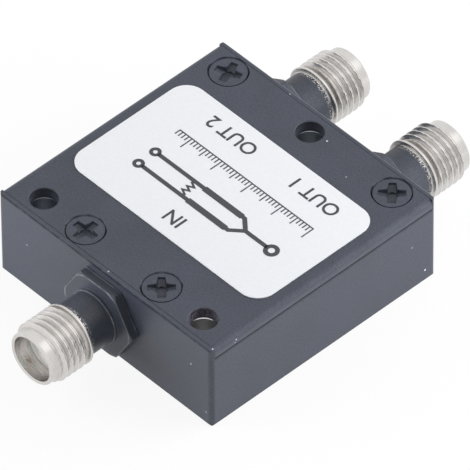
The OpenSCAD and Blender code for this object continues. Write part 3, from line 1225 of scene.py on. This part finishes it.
@dataclass
class LidScrews:
    """Four countersunk screws with cross recesses.

    Attributes:
        head_d: Diameter of a head.
        rim: Height of its straight rim.
        shank_d: Diameter of the shank.
        input_pitch: Distance between the two screws beside the input jack.
        wing_span: Span of the recess.
        wing_w: Width of one wing at its tip.
        flare: Half width that a wing gains towards the middle.
        core_d: Diameter of the round pit in the middle.
        wall_w: Width of the recess's sloping walls as seen from above.
        depth: Depth of the recess.
        edge: Reach of the rounding on the head's upper edge.
        rings: Rows of points from the middle of the head to that rounding.
        columns: Points around a screw.
        turns: Direction of each recess in degrees: input -X and +X, output -X and +X.
    """

    head_d: float = 3.6 * MM
    rim: float = 0.1 * MM
    shank_d: float = 2.0 * MM
    input_pitch: float = 10.0 * MM
    wing_span: float = 2.6 * MM
    wing_w: float = 0.68 * MM
    flare: float = 0.26 * MM
    core_d: float = 1.2 * MM
    wall_w: float = 0.12 * MM
    depth: float = 0.65 * MM
    edge: float = 0.06 * MM
    rings: int = 64
    columns: int = 200
    turns: tuple[float, ...] = (2, 47, 20, 44)

    def recess(self, x: np.ndarray, y: np.ndarray) -> tuple[np.ndarray, np.ndarray]:
        """Depth of the cross recess.

        Along each wing the depth grows from a third at its tip to the full depth in the middle,
        inside a half width that flares towards the middle. The two wings and a round pit meet by
        a power sum, which rounds the corners between them.

        Args:
            x: Places along one wing.
            y: Places along the other.

        Returns:
            Depths, and numbers from 0 to 1 that are highest on the walls, where shade is painted.
        """
        def wall(inside: np.ndarray) -> np.ndarray:
            """Smooth step over the width of a wall."""
            share = np.clip(inside / self.wall_w + 0.5, 0, 1)
            return share * share * (3 - 2 * share)

        def wing(along: np.ndarray, across: np.ndarray) -> np.ndarray:
            """Depth of one wing: slope along it times the walls across it."""
            share = np.clip(1 - np.abs(along) / (self.wing_span / 2), 0, 1)
            half = self.wing_w / 2 + self.flare * share ** 2
            floor = tip_depth + (1 - tip_depth) * share
            return np.minimum(share * tip_slope, floor) * wall(half - np.abs(across))

        power, tip_depth, tip_slope, core_depth = 4, 0.35, 14, 0.5
        core = core_depth * wall(self.core_d / 2 - np.hypot(x, y))
        share = np.minimum((wing(x, y) ** power + wing(y, x) ** power + core ** power) ** (1 / power), 1)
        steps = np.hypot(np.gradient(share, axis=0), np.gradient(share, axis=1))
        return self.depth * share, np.clip(steps / steps.max() * 2, 0, 1)

    def screw(self, name: str, place: Vector, bottom: float, turn: float) -> bpy.types.Object:
        """One screw: a polar grid whose middle rows sink by the recess, then the cone and shank.

        Args:
            name: Name of the piece.
            place: Middle of the top of the head.
            bottom: Height of the screw's end.
            turn: Direction of the recess in degrees.

        Returns:
            The screw.
        """
        head, shank, end = self.head_d / 2, self.shank_d / 2, bottom - place.z
        disc = np.linspace(0, head - self.edge, self.rings)
        cone = head - shank
        side = np.array([
            [head - self.edge / 3, -self.edge / 4], [head, -self.edge * 5 / 6], [head, -self.rim],
            [shank, -self.rim - cone], [shank, end + self.rim], [shank - self.rim, end], [0, end],
        ])
        angle = np.linspace(0, math.tau, self.columns, endpoint=False)[None, :]
        radius = np.concatenate([disc, side[:, 0]])[:, None]
        local_x, local_y = radius * np.cos(angle), radius * np.sin(angle)
        height = np.concatenate([np.zeros_like(disc), side[:, 1]])[:, None] + 0 * angle
        depth, walls = self.recess(local_x[:len(disc)], local_y[:len(disc)])
        height[:len(disc)] -= depth
        # Where shade is painted on the recess walls
        corner = np.concatenate([walls, np.zeros_like(local_x[len(disc):])])
        swing = math.radians(turn)
        cosine, sine = math.cos(swing), math.sin(swing)
        points = np.stack([place.x + local_x * cosine - local_y * sine,
                           place.y + local_x * sine + local_y * cosine,
                           place.z + height], axis=-1)
        return skin(name, points, marks={"corner": corner})

    def build(self, finish: bpy.types.Material) -> None:
        """Builds the four screws as one piece and seats it.

        Args:
            finish: Their finish.
        """
        low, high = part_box("lid_screws")
        reach_x, reach_y = high.x - self.head_d / 2, high.y - self.head_d / 2
        places = [(-self.input_pitch / 2, -reach_y), (self.input_pitch / 2, -reach_y),
                  (-reach_x, reach_y), (reach_x, reach_y)]
        screws = [self.screw(f"lid_screw_{i}", Vector((x, y, high.z)), low.z, turn)
                  for i, ((x, y), turn) in enumerate(zip(places, self.turns), start=1)]
        heads = joined("cross_recess_screws", screws)
        dress(heads, finish)
        seat(heads, "screw", "lid_screws")


@dataclass
class Print:
    """Marks printed on the label: port names, a divider diagram and a fine scale.

    Places are given as read, from the label's reading corner: u runs to the right and v up. The
    label is read from the side of the output jacks, so u points along -X and v along -Y.

    Attributes:
        ink_t: Thickness of the ink.
        cap: Height of the capital letters.
        left: X of the left end of the lines, as read.
        diagram_y: Y of the diagram's foot.
        scale_y: Y of the scale's foot.
        output_y: Y of the foot of the output names.
        input_y: Y of the foot of the input name.
        output_2_x: X of the left end of the second output name.
        input_x: X of the left end of the input name.
        bold: Width of the diagram's lines.
        fine: Width of the scale's lines.
        widened: Share of a letter's size by which its strokes are widened.
    """

    ink_t: float = 0.012 * MM
    cap: float = 1.5 * MM
    left: float = 9.3 * MM
    diagram_y: float = -0.1 * MM
    scale_y: float = 3.3 * MM
    output_y: float = 6.8 * MM
    input_y: float = -4.2 * MM
    output_2_x: float = -1.5 * MM
    input_x: float = 0.6 * MM
    bold: float = 0.44 * MM
    fine: float = 0.13 * MM
    widened: float = 0.012

    def settle(self, corner_x: float, corner_y: float) -> Matrix:
        """Turn and shift from reading places to the top of the label.

        Args:
            corner_x: X of the reading origin.
            corner_y: Y of the reading origin.

        Returns:
            The placing.
        """
        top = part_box("label")[1].z
        return Matrix.Translation((corner_x, corner_y, top)) @ Matrix.Rotation(math.pi, 4, "Z")

    def word(self, text: str, corner_x: float, corner_y: float) -> bpy.types.Object:
        """A word in plain capitals, scaled to the capital height.

        Args:
            text: The word.
            corner_x: X of its left end.
            corner_y: Y of its foot.

        Returns:
            The word as a mesh.
        """
        curve = bpy.data.curves.new("word", "FONT")
        curve.body = text
        curve.extrude = 0.5
        curve.offset = self.widened
        holder = bpy.data.objects.new("word", curve)
        bpy.context.scene.collection.objects.link(holder)
        bpy.context.view_layer.update()
        graph = bpy.context.evaluated_depsgraph_get()
        mesh = bpy.data.meshes.new_from_object(holder.evaluated_get(graph))
        bpy.data.objects.remove(holder)
        spots = np.empty(len(mesh.vertices) * 3, np.float32)
        mesh.vertices.foreach_get("co", spots)
        spots = spots.reshape(-1, 3)
        spots[:, :2] -= spots[:, :2].min(0)
        spots[:, :2] *= self.cap / spots[:, 1].max()
        spots[:, 2] = (spots[:, 2] > 0) * self.ink_t
        mesh.vertices.foreach_set("co", spots.ravel())
        mesh.transform(self.settle(corner_x, corner_y))
        return tidy("word", mesh)

    def stroke(self, path: list[tuple[float, float]], width: float, corner: tuple[float, float],
               closed: bool = False, lift: float = 0.0) -> bpy.types.Object:
        """A printed line: a flat rectangle carried along a path, mitred at its bends.

        Args:
            path: Points as read, in millimetres.
            width: Width of the line.
            corner: X and Y of the reading origin.
            closed: Whether the path is a ring.
            lift: Extra thickness as a share, for a line that crosses another.

        Returns:
            The line as a mesh.
        """
        points = np.array(path) * MM
        if closed:
            before, after = points - np.roll(points, 1, 0), np.roll(points, -1, 0) - points
        else:
            steps = np.diff(points, axis=0)
            before, after = np.concatenate([steps[:1], steps]), np.concatenate([steps, steps[-1:]])
        before, after = (step / np.linalg.norm(step, axis=1, keepdims=True)
                         for step in (before, after))
        middle = (before + after) / np.linalg.norm(before + after, axis=1, keepdims=True)
        normal = np.stack([-middle[:, 1], middle[:, 0]], axis=1)
        normal = normal / np.abs((middle * after).sum(1, keepdims=True)) * width / 2
        left, right = points + normal, points - normal
        floor, top = np.zeros((len(points), 1)), np.full((len(points), 1), self.ink_t * (1 + lift))
        ring = [np.hstack([left, floor]), np.hstack([right, floor]),
                np.hstack([right, top]), np.hstack([left, top])]
        grid = np.stack(ring, axis=1)
        if not closed:
            first, last = (end.mean(1, keepdims=True).repeat(4, 1) for end in (grid[:1], grid[-1:]))
            grid = np.concatenate([first, grid, last])
        placing = np.array(self.settle(*corner))
        grid = grid @ placing[:3, :3].T + placing[:3, 3]
        return skin("stroke", grid, along=closed)

    def ring(self, u: float, v: float, radius: float, width: float,
             corner: tuple[float, float]) -> bpy.types.Object:
        """A printed ring: a stroke along a circle.

        Args:
            u: Middle, to the right as read, in millimetres.
            v: Middle, up as read, in millimetres.
            radius: Radius in millimetres.
            width: Width of the line.
            corner: X and Y of the reading origin.

        Returns:
            The ring as a mesh.
        """
        turn = np.linspace(0, math.tau, 32, endpoint=False)
        circle = np.stack([u + radius * np.cos(turn), v + radius * np.sin(turn)], axis=1)
        return self.stroke([tuple(point) for point in circle], width, corner, closed=True)

    def diagram(self) -> list[bpy.types.Object]:
        """Divider diagram: one ring, a line that forks in two, a resistor and two rings."""
        corner = (self.left, self.diagram_y)
        low, middle, high = 0.25, 1.3, 2.35
        fork, bar, bar_end, resistor, end = 4.2, 5.3, 10.6, 11.6, 16.6
        marks = [self.ring(0.7, middle, 0.55, self.bold, corner),
                 self.stroke([(1.3, middle), (fork, middle)], self.bold, corner)]
        for rail in (low, high):
            lift = 0.25 if rail == low else 0.5
            branch = [(fork - 0.1, middle), (bar, rail), (bar + 0.3, rail)]
            marks.append(self.stroke(branch, self.bold, corner, lift=lift))
            marks.append(self.stroke([(bar + 0.3, rail), (bar_end, rail)], self.bold * 1.5, corner))
            marks.append(self.stroke([(bar_end, rail), (end, rail)], self.bold, corner))
            marks.append(self.ring(end + 0.45, rail, 0.4, self.bold * 0.8, corner))
        steps = 7
        swings = [0.0, *(0.3 if i % 2 else -0.3 for i in range(1, steps)), 0.0]
        zigzag = [(resistor + swing, low + (high - low) * i / steps)
                  for i, swing in enumerate(swings)]
        marks.append(self.stroke(zigzag, self.fine * 1.6, corner, lift=0.25))
        return marks

    def scale(self) -> list[bpy.types.Object]:
        """Fine scale: a rule with short, middle and long ticks."""
        corner = (self.left, self.scale_y)
        length, ticks, base, line = 17.6, 44, 0.1, self.fine / MM
        long_tick, middle_tick, short_tick = 1.6, 1.15, 0.75
        marks = [self.stroke([(0, base), (length, base)], self.fine, corner)]
        for i in range(ticks + 1):
            height = long_tick if i % 10 == 0 else middle_tick if i % 5 == 0 else short_tick
            across = line / 2 + i * (length - line) / ticks
            foot = base + line / 2
            marks.append(self.stroke([(across, foot), (across, height)], self.fine, corner))
        return marks

    def build(self, ink: bpy.types.Material) -> None:
        """Builds the marks as three pieces and seats them.

        Args:
            ink: Their finish.
        """
        words = [self.word("IN", self.input_x, self.input_y),
                 self.word("OUT 1", self.left, self.output_y),
                 self.word("OUT 2", self.output_2_x, self.output_y)]
        for name, parts in (("port_names", words), ("divider_diagram", self.diagram()),
                            ("fine_scale", self.scale())):
            piece = joined(name, parts)
            dress(piece, ink)
            seat(piece, "label")


@dataclass(frozen=True)
class Lamp:
    """A flat soft lamp aimed at the object.

    Attributes:
        name: Its name.
        azimuth: Degrees from the input side towards +X.
        elevation: Degrees above the floor.
        size: Its width.
        share: Brightness of a white surface that faces it.
        distance: Distance from the object.
        tall: Its height, or 0 where it is square.
        mirrored: Whether glossy surfaces show it.
    """

    name: str
    azimuth: float
    elevation: float
    size: float
    share: float
    distance: float
    tall: float = 0.0
    mirrored: bool = False

    def place(self) -> None:
        """Hangs the lamp: its power is the share times pi squared times the distance squared."""
        light = bpy.data.lights.new(self.name, "AREA")
        light.shape = "RECTANGLE"
        light.size, light.size_y = self.size, self.tall or self.size
        light.energy = self.share * math.pi ** 2 * self.distance ** 2
        holder = bpy.data.objects.new(self.name, light)
        toward = direction(self.azimuth, self.elevation)
        holder.visible_glossy = self.mirrored
        holder.location = toward * self.distance
        holder.rotation_euler = toward.to_track_quat("Z", "Y").to_euler()
        bpy.context.scene.collection.objects.link(holder)


def direction(azimuth: float, elevation: float) -> Vector:
    """Unit vector towards an azimuth and elevation in degrees, with azimuth 0 along -Y.

    Args:
        azimuth: Degrees from -Y towards +X.
        elevation: Degrees above the floor.

    Returns:
        The vector.
    """
    turn, tilt = math.radians(azimuth), math.radians(elevation)
    return Vector((math.sin(turn) * math.cos(tilt), -math.cos(turn) * math.cos(tilt), math.sin(tilt)))


@dataclass
class Studio:
    """White studio: floor, world, lamps and the camera.

    Attributes:
        azimuth: The camera's azimuth in degrees.
        elevation: The camera's elevation in degrees.
        roll: The camera's roll in degrees.
        distance: Distance from the camera to the plane through the origin.
        aside: Shift of the camera to its right.
        above: Shift of the camera upwards in its own frame.
        pixels_per_mm: Pixels for each millimetre in that plane.
        image: Width of the image in pixels.
        sensor: Sensor width in millimetres.
        sky: Strength of the world for everything but the eye and reflections.
        floor_size: Length of the floor's side.
        floor_drop: How far the floor lies under the object.
        floor_colour: Colour of the floor where light falls on it.
        shadow: Share of the real shadow that the floor shows.
        gloss_share: How far glossy surfaces see the floor as plain white.
        lamps: The lamps.
    """

    azimuth: float = 46.87
    elevation: float = 45.52
    roll: float = -0.515
    distance: float = 1.15636
    aside: float = 1.561 * MM
    above: float = 3.2185 * MM
    pixels_per_mm: float = 11.0
    image: int = 470
    sensor: float = 36.0
    sky: float = 0.36
    floor_size: float = 3.0
    floor_drop: float = 0.02 * MM
    floor_colour: Colour = (0.86, 0.86, 0.86)
    shadow: float = 0.1
    gloss_share: float = 0.8
    lamps: tuple[Lamp, ...] = (
        Lamp("left_softbox", azimuth=-42, elevation=10, size=0.16, share=1.65, distance=0.15),
        Lamp("left_strip", azimuth=-30, elevation=2.2, size=0.04, tall=0.004, share=0.15, distance=0.065),
        Lamp("right_softbox", azimuth=140, elevation=11, size=0.16, share=2.55, distance=0.15),
        Lamp("back_softbox", azimuth=178, elevation=28, size=0.16, share=0.3, distance=0.15),
        Lamp("rear_softbox", azimuth=142, elevation=54, size=0.3, share=0.05, distance=0.5, mirrored=True),
    )

    def camera(self) -> None:
        """Sets the camera up from the fitted view."""
        toward = direction(self.azimuth, self.elevation)
        flat_right = Vector((0, 0, 1)).cross(toward).normalized()
        flat_up = toward.cross(flat_right)
        swing = math.radians(self.roll)
        right = flat_right * math.cos(swing) + flat_up * math.sin(swing)
        up = flat_up * math.cos(swing) - flat_right * math.sin(swing)
        lens = bpy.data.cameras.new("camera")
        lens.sensor_width = self.sensor
        lens.lens = self.sensor * self.pixels_per_mm / MM * self.distance / self.image
        lens.clip_start = self.distance / 20
        lens.clip_end = self.distance * 10
        eye = bpy.data.objects.new("camera", lens)
        turn = Matrix((right, up, toward)).transposed().to_4x4()
        spot = right * self.aside + up * self.above + toward * self.distance
        eye.matrix_world = Matrix.Translation(spot) @ turn
        bpy.context.scene.collection.objects.link(eye)
        bpy.context.scene.camera = eye

    def seen(self, recipe: Recipe, gloss: float) -> Value:
        """Factor for rays that show the surroundings.

        Args:
            recipe: The recipe to add to.
            gloss: Factor for rays from glossy surfaces.

        Returns:
            1 for rays from the eye or through glass, the given factor for gloss, else 0.
        """
        path = recipe.add("ShaderNodeLightPath")
        eye, glossy, through = recipe.outputs(path, "Is Camera Ray", "Is Glossy Ray",
                                              "Is Transmission Ray")
        return (eye + through + glossy * gloss).clipped()

    def floor(self) -> None:
        """White floor whose seen colour is mostly plain white, with part of the real shadow."""
        half = self.floor_size / 2
        line = np.linspace(-half, half, 9)
        x, y = np.meshgrid(line, line)
        grid = np.stack([x, y, np.full_like(x, -self.floor_drop)], axis=-1)
        plane = skin("studio_floor", grid, around=False)
        recipe = Recipe.material("studio_floor")
        matt = recipe.add("ShaderNodeBsdfDiffuse", sockets={"Color": (*self.floor_colour, 1)})
        white = recipe.add("ShaderNodeEmission", sockets={"Color": (1, 1, 1, 1), "Strength": 1.0})
        factor = self.seen(recipe, self.gloss_share) * (1 - self.shadow)
        mixed = recipe.add("ShaderNodeMixShader", sockets={0: factor, 1: matt, 2: white})
        dress(plane, recipe.close(mixed))

    def world(self) -> None:
        """World that is white to the eye and a soft grey light to the rest."""
        recipe = Recipe(bpy.data.worlds.new("studio_world"))
        strength = self.sky + self.seen(recipe, gloss=1.0) * (1 - self.sky)
        sockets = {"Color": (1, 1, 1, 1), "Strength": strength}
        light = recipe.add("ShaderNodeBackground", sockets=sockets)
        bpy.context.scene.world = recipe.close(light, "ShaderNodeOutputWorld")

    def build(self) -> None:
        """Builds the studio."""
        self.camera()
        self.floor()
        self.world()
        for lamp in self.lamps:
            lamp.place()
        bpy.context.scene.view_settings.view_transform = "Standard"


# Where dust lies, as read from the photo: place, radius and strength
DUST = tuple(Speck((x * MM, y * MM, z * MM), size * MM, strength) for x, y, z, size, strength in (
    (14, 12.65, 1.42, 0.1, 1.0),
    (14, 10.99, 5.45, 0.11, 0.25),
    (1.95, 11.9, 9.8, 0.09, 1.0),
    (6.46, 9.96, 9.8, 0.07, 0.6),
    (10.36, 13.1, 9.8, 0.07, 0.9),
    (-4.75, 13.65, 9.8, 0.07, 0.6),
    (0.28, -13.7, 9.8, 0.1, 0.5),
    (-10.27, -14, 5.64, 0.09, 0.4),
    (11.35, -14, 6.32, 0.1, 0.5),
    (13.25, -14, 1.53, 0.1, 0.35),
    (13.96, -10.9, 9.22, 0.09, 0.8),
    (13.99, -11.05, 8.95, 0.06, 0.6),
    (13.85, -10.65, 9.5, 0.06, 0.5),
    (13.8, -13.6, 9.8, 0.08, 0.8),
))


def between(low: Place, high: Place, colour: Colour, strength: float, broken: float) -> Line:
    """A line between two corners given in millimetres."""
    corners = (tuple(length * MM for length in corner) for corner in (low, high))
    return Line(*corners, colour, strength, broken)


# Painted shade in the side seam, a painted highlight on the lid's edge over it, painted shade along the
# lip's edge on the input side and a painted highlight on the lip on the output side
LINES = (
    between((13.8, -13.55, 8.36), (14.1, 13.55, 8.66), SHADE, 0.45, 0.3),
    between((13.8, -13.55, 8.7), (14.1, 13.55, 9.1), PALE, 0.1, 0.6),
    between((-1, -14.1, 9.5), (13.9, -13.9, 9.76), SHADE, 0.7, 0.4),
    between((-1, 13.88, 9.66), (13.9, 14.1, 9.9), PALE, 0.6, 0.5),
)
# Painted shade in the rings round the lid screws, and the three mounting holes with painted light on their
# walls
GROOVES = tuple(Groove(x * MM, y * MM)
                for x, y in ((-5, -11.6), (5, -11.6), (-10.75, 11.6), (10.75, 11.6)))
BORES = (
    Bore(-10.5 * MM, -11.6 * MM),
    # The front right hole's wall, metal and bevel are painted paler as more light falls into it, with a
    # stronger painted highlight
    Bore(10.5 * MM, -11.6 * MM, colour=(0.1, 0.095, 0.12), deep=(0.26, 0.24, 0.3), grain=0.85,
         metal=(0.58, 0.58, 0.585), bevel_colour=(0.85, 0.84, 0.82), bright=0.15 * MM),
    Bore(0, 11.6 * MM, metal=(0.47, 0.5, 0.53), bevel_colour=(0.42, 0.43, 0.45)),
)


@dataclass
class Block:
    """Lacquered block: housing, lid and label.

    Attributes:
        housing: Finish of the housing.
        lid: Finish of the lid.
        film: Finish of the label.
    """

    housing: Lacquer = Lacquer("block_lacquer", marks=DUST + LINES, bores=BORES)
    lid: Lacquer = Lacquer("lid_lacquer", marks=DUST + LINES + GROOVES, bores=BORES)
    film: Film = Film("label_film", (0.765, 0.78, 0.81))

    def dress(self) -> None:
        """Dresses the block's nodes."""
        dress(frame["nodes"]["housing"], self.housing.material())
        dress(frame["nodes"]["lid"], self.lid.material())
        dress(frame["nodes"]["label"], self.film.material())


@dataclass
class Divider:
    """Board, track, resistors and screws inside the pocket.

    Attributes:
        laminate: Finish of the board.
        track: Finish of the track.
        chip: Finish of the resistors.
        screw: Finish of the board screws.
    """

    laminate: Laminate = Laminate("board_laminate")
    track: Metal = Metal("track_copper", (0.75, 0.42, 0.26), (0.45, 0.22, 0.13), roughness=0.35)
    chip: Moulded = Moulded("fired_resistor", (0.03, 0.03, 0.035))
    screw: Metal = Metal("board_screw_steel", (0.56, 0.56, 0.57), (0.36, 0.35, 0.34))

    def dress(self) -> None:
        """Dresses the divider's nodes."""
        nodes = frame["nodes"]
        dress(nodes["divider_board"], self.laminate.material())
        dress(nodes["divider_track"], self.track.material())
        dress(nodes["board_screws"], self.screw.material())
        chip = self.chip.material()
        for name in sorted(nodes):
            if name.startswith("isolation_resistor"):
                dress(nodes[name], chip)


def main() -> None:
    """Builds the pieces in order."""
    logging.basicConfig(level=logging.INFO, format="%(name)s %(message)s")
    Studio().build()
    Block().dress()
    Divider().dress()
    plate = PlatedJack("plated_jack", Lacquer("jack_lacquer", colour=(0.041, 0.047, 0.064))).material()
    insulator = Moulded("white_fluoropolymer", (0.72, 0.71, 0.69), roughness=0.4, glow=0.15).material()
    contact = Metal("gold_plate", (0.83, 0.6, 0.28), (0.6, 0.4, 0.18), roughness=0.22).material()
    for port, facing, turn in (("input", Facing.INPUT, 0), ("output_1", Facing.OUTPUT, 30),
                               ("output_2", Facing.OUTPUT, 30)):
        Jack(port, facing, turn).dress(plate, insulator, contact)
    LidScrews().build(Lacquer("screw_lacquer", marks=GROOVES + (Corners(),)).material())
    Print().build(Film("label_ink", (0.05, 0.052, 0.058), roughness=0.5, mottle=0.15).material())


if __name__ == "__main__":
    main()
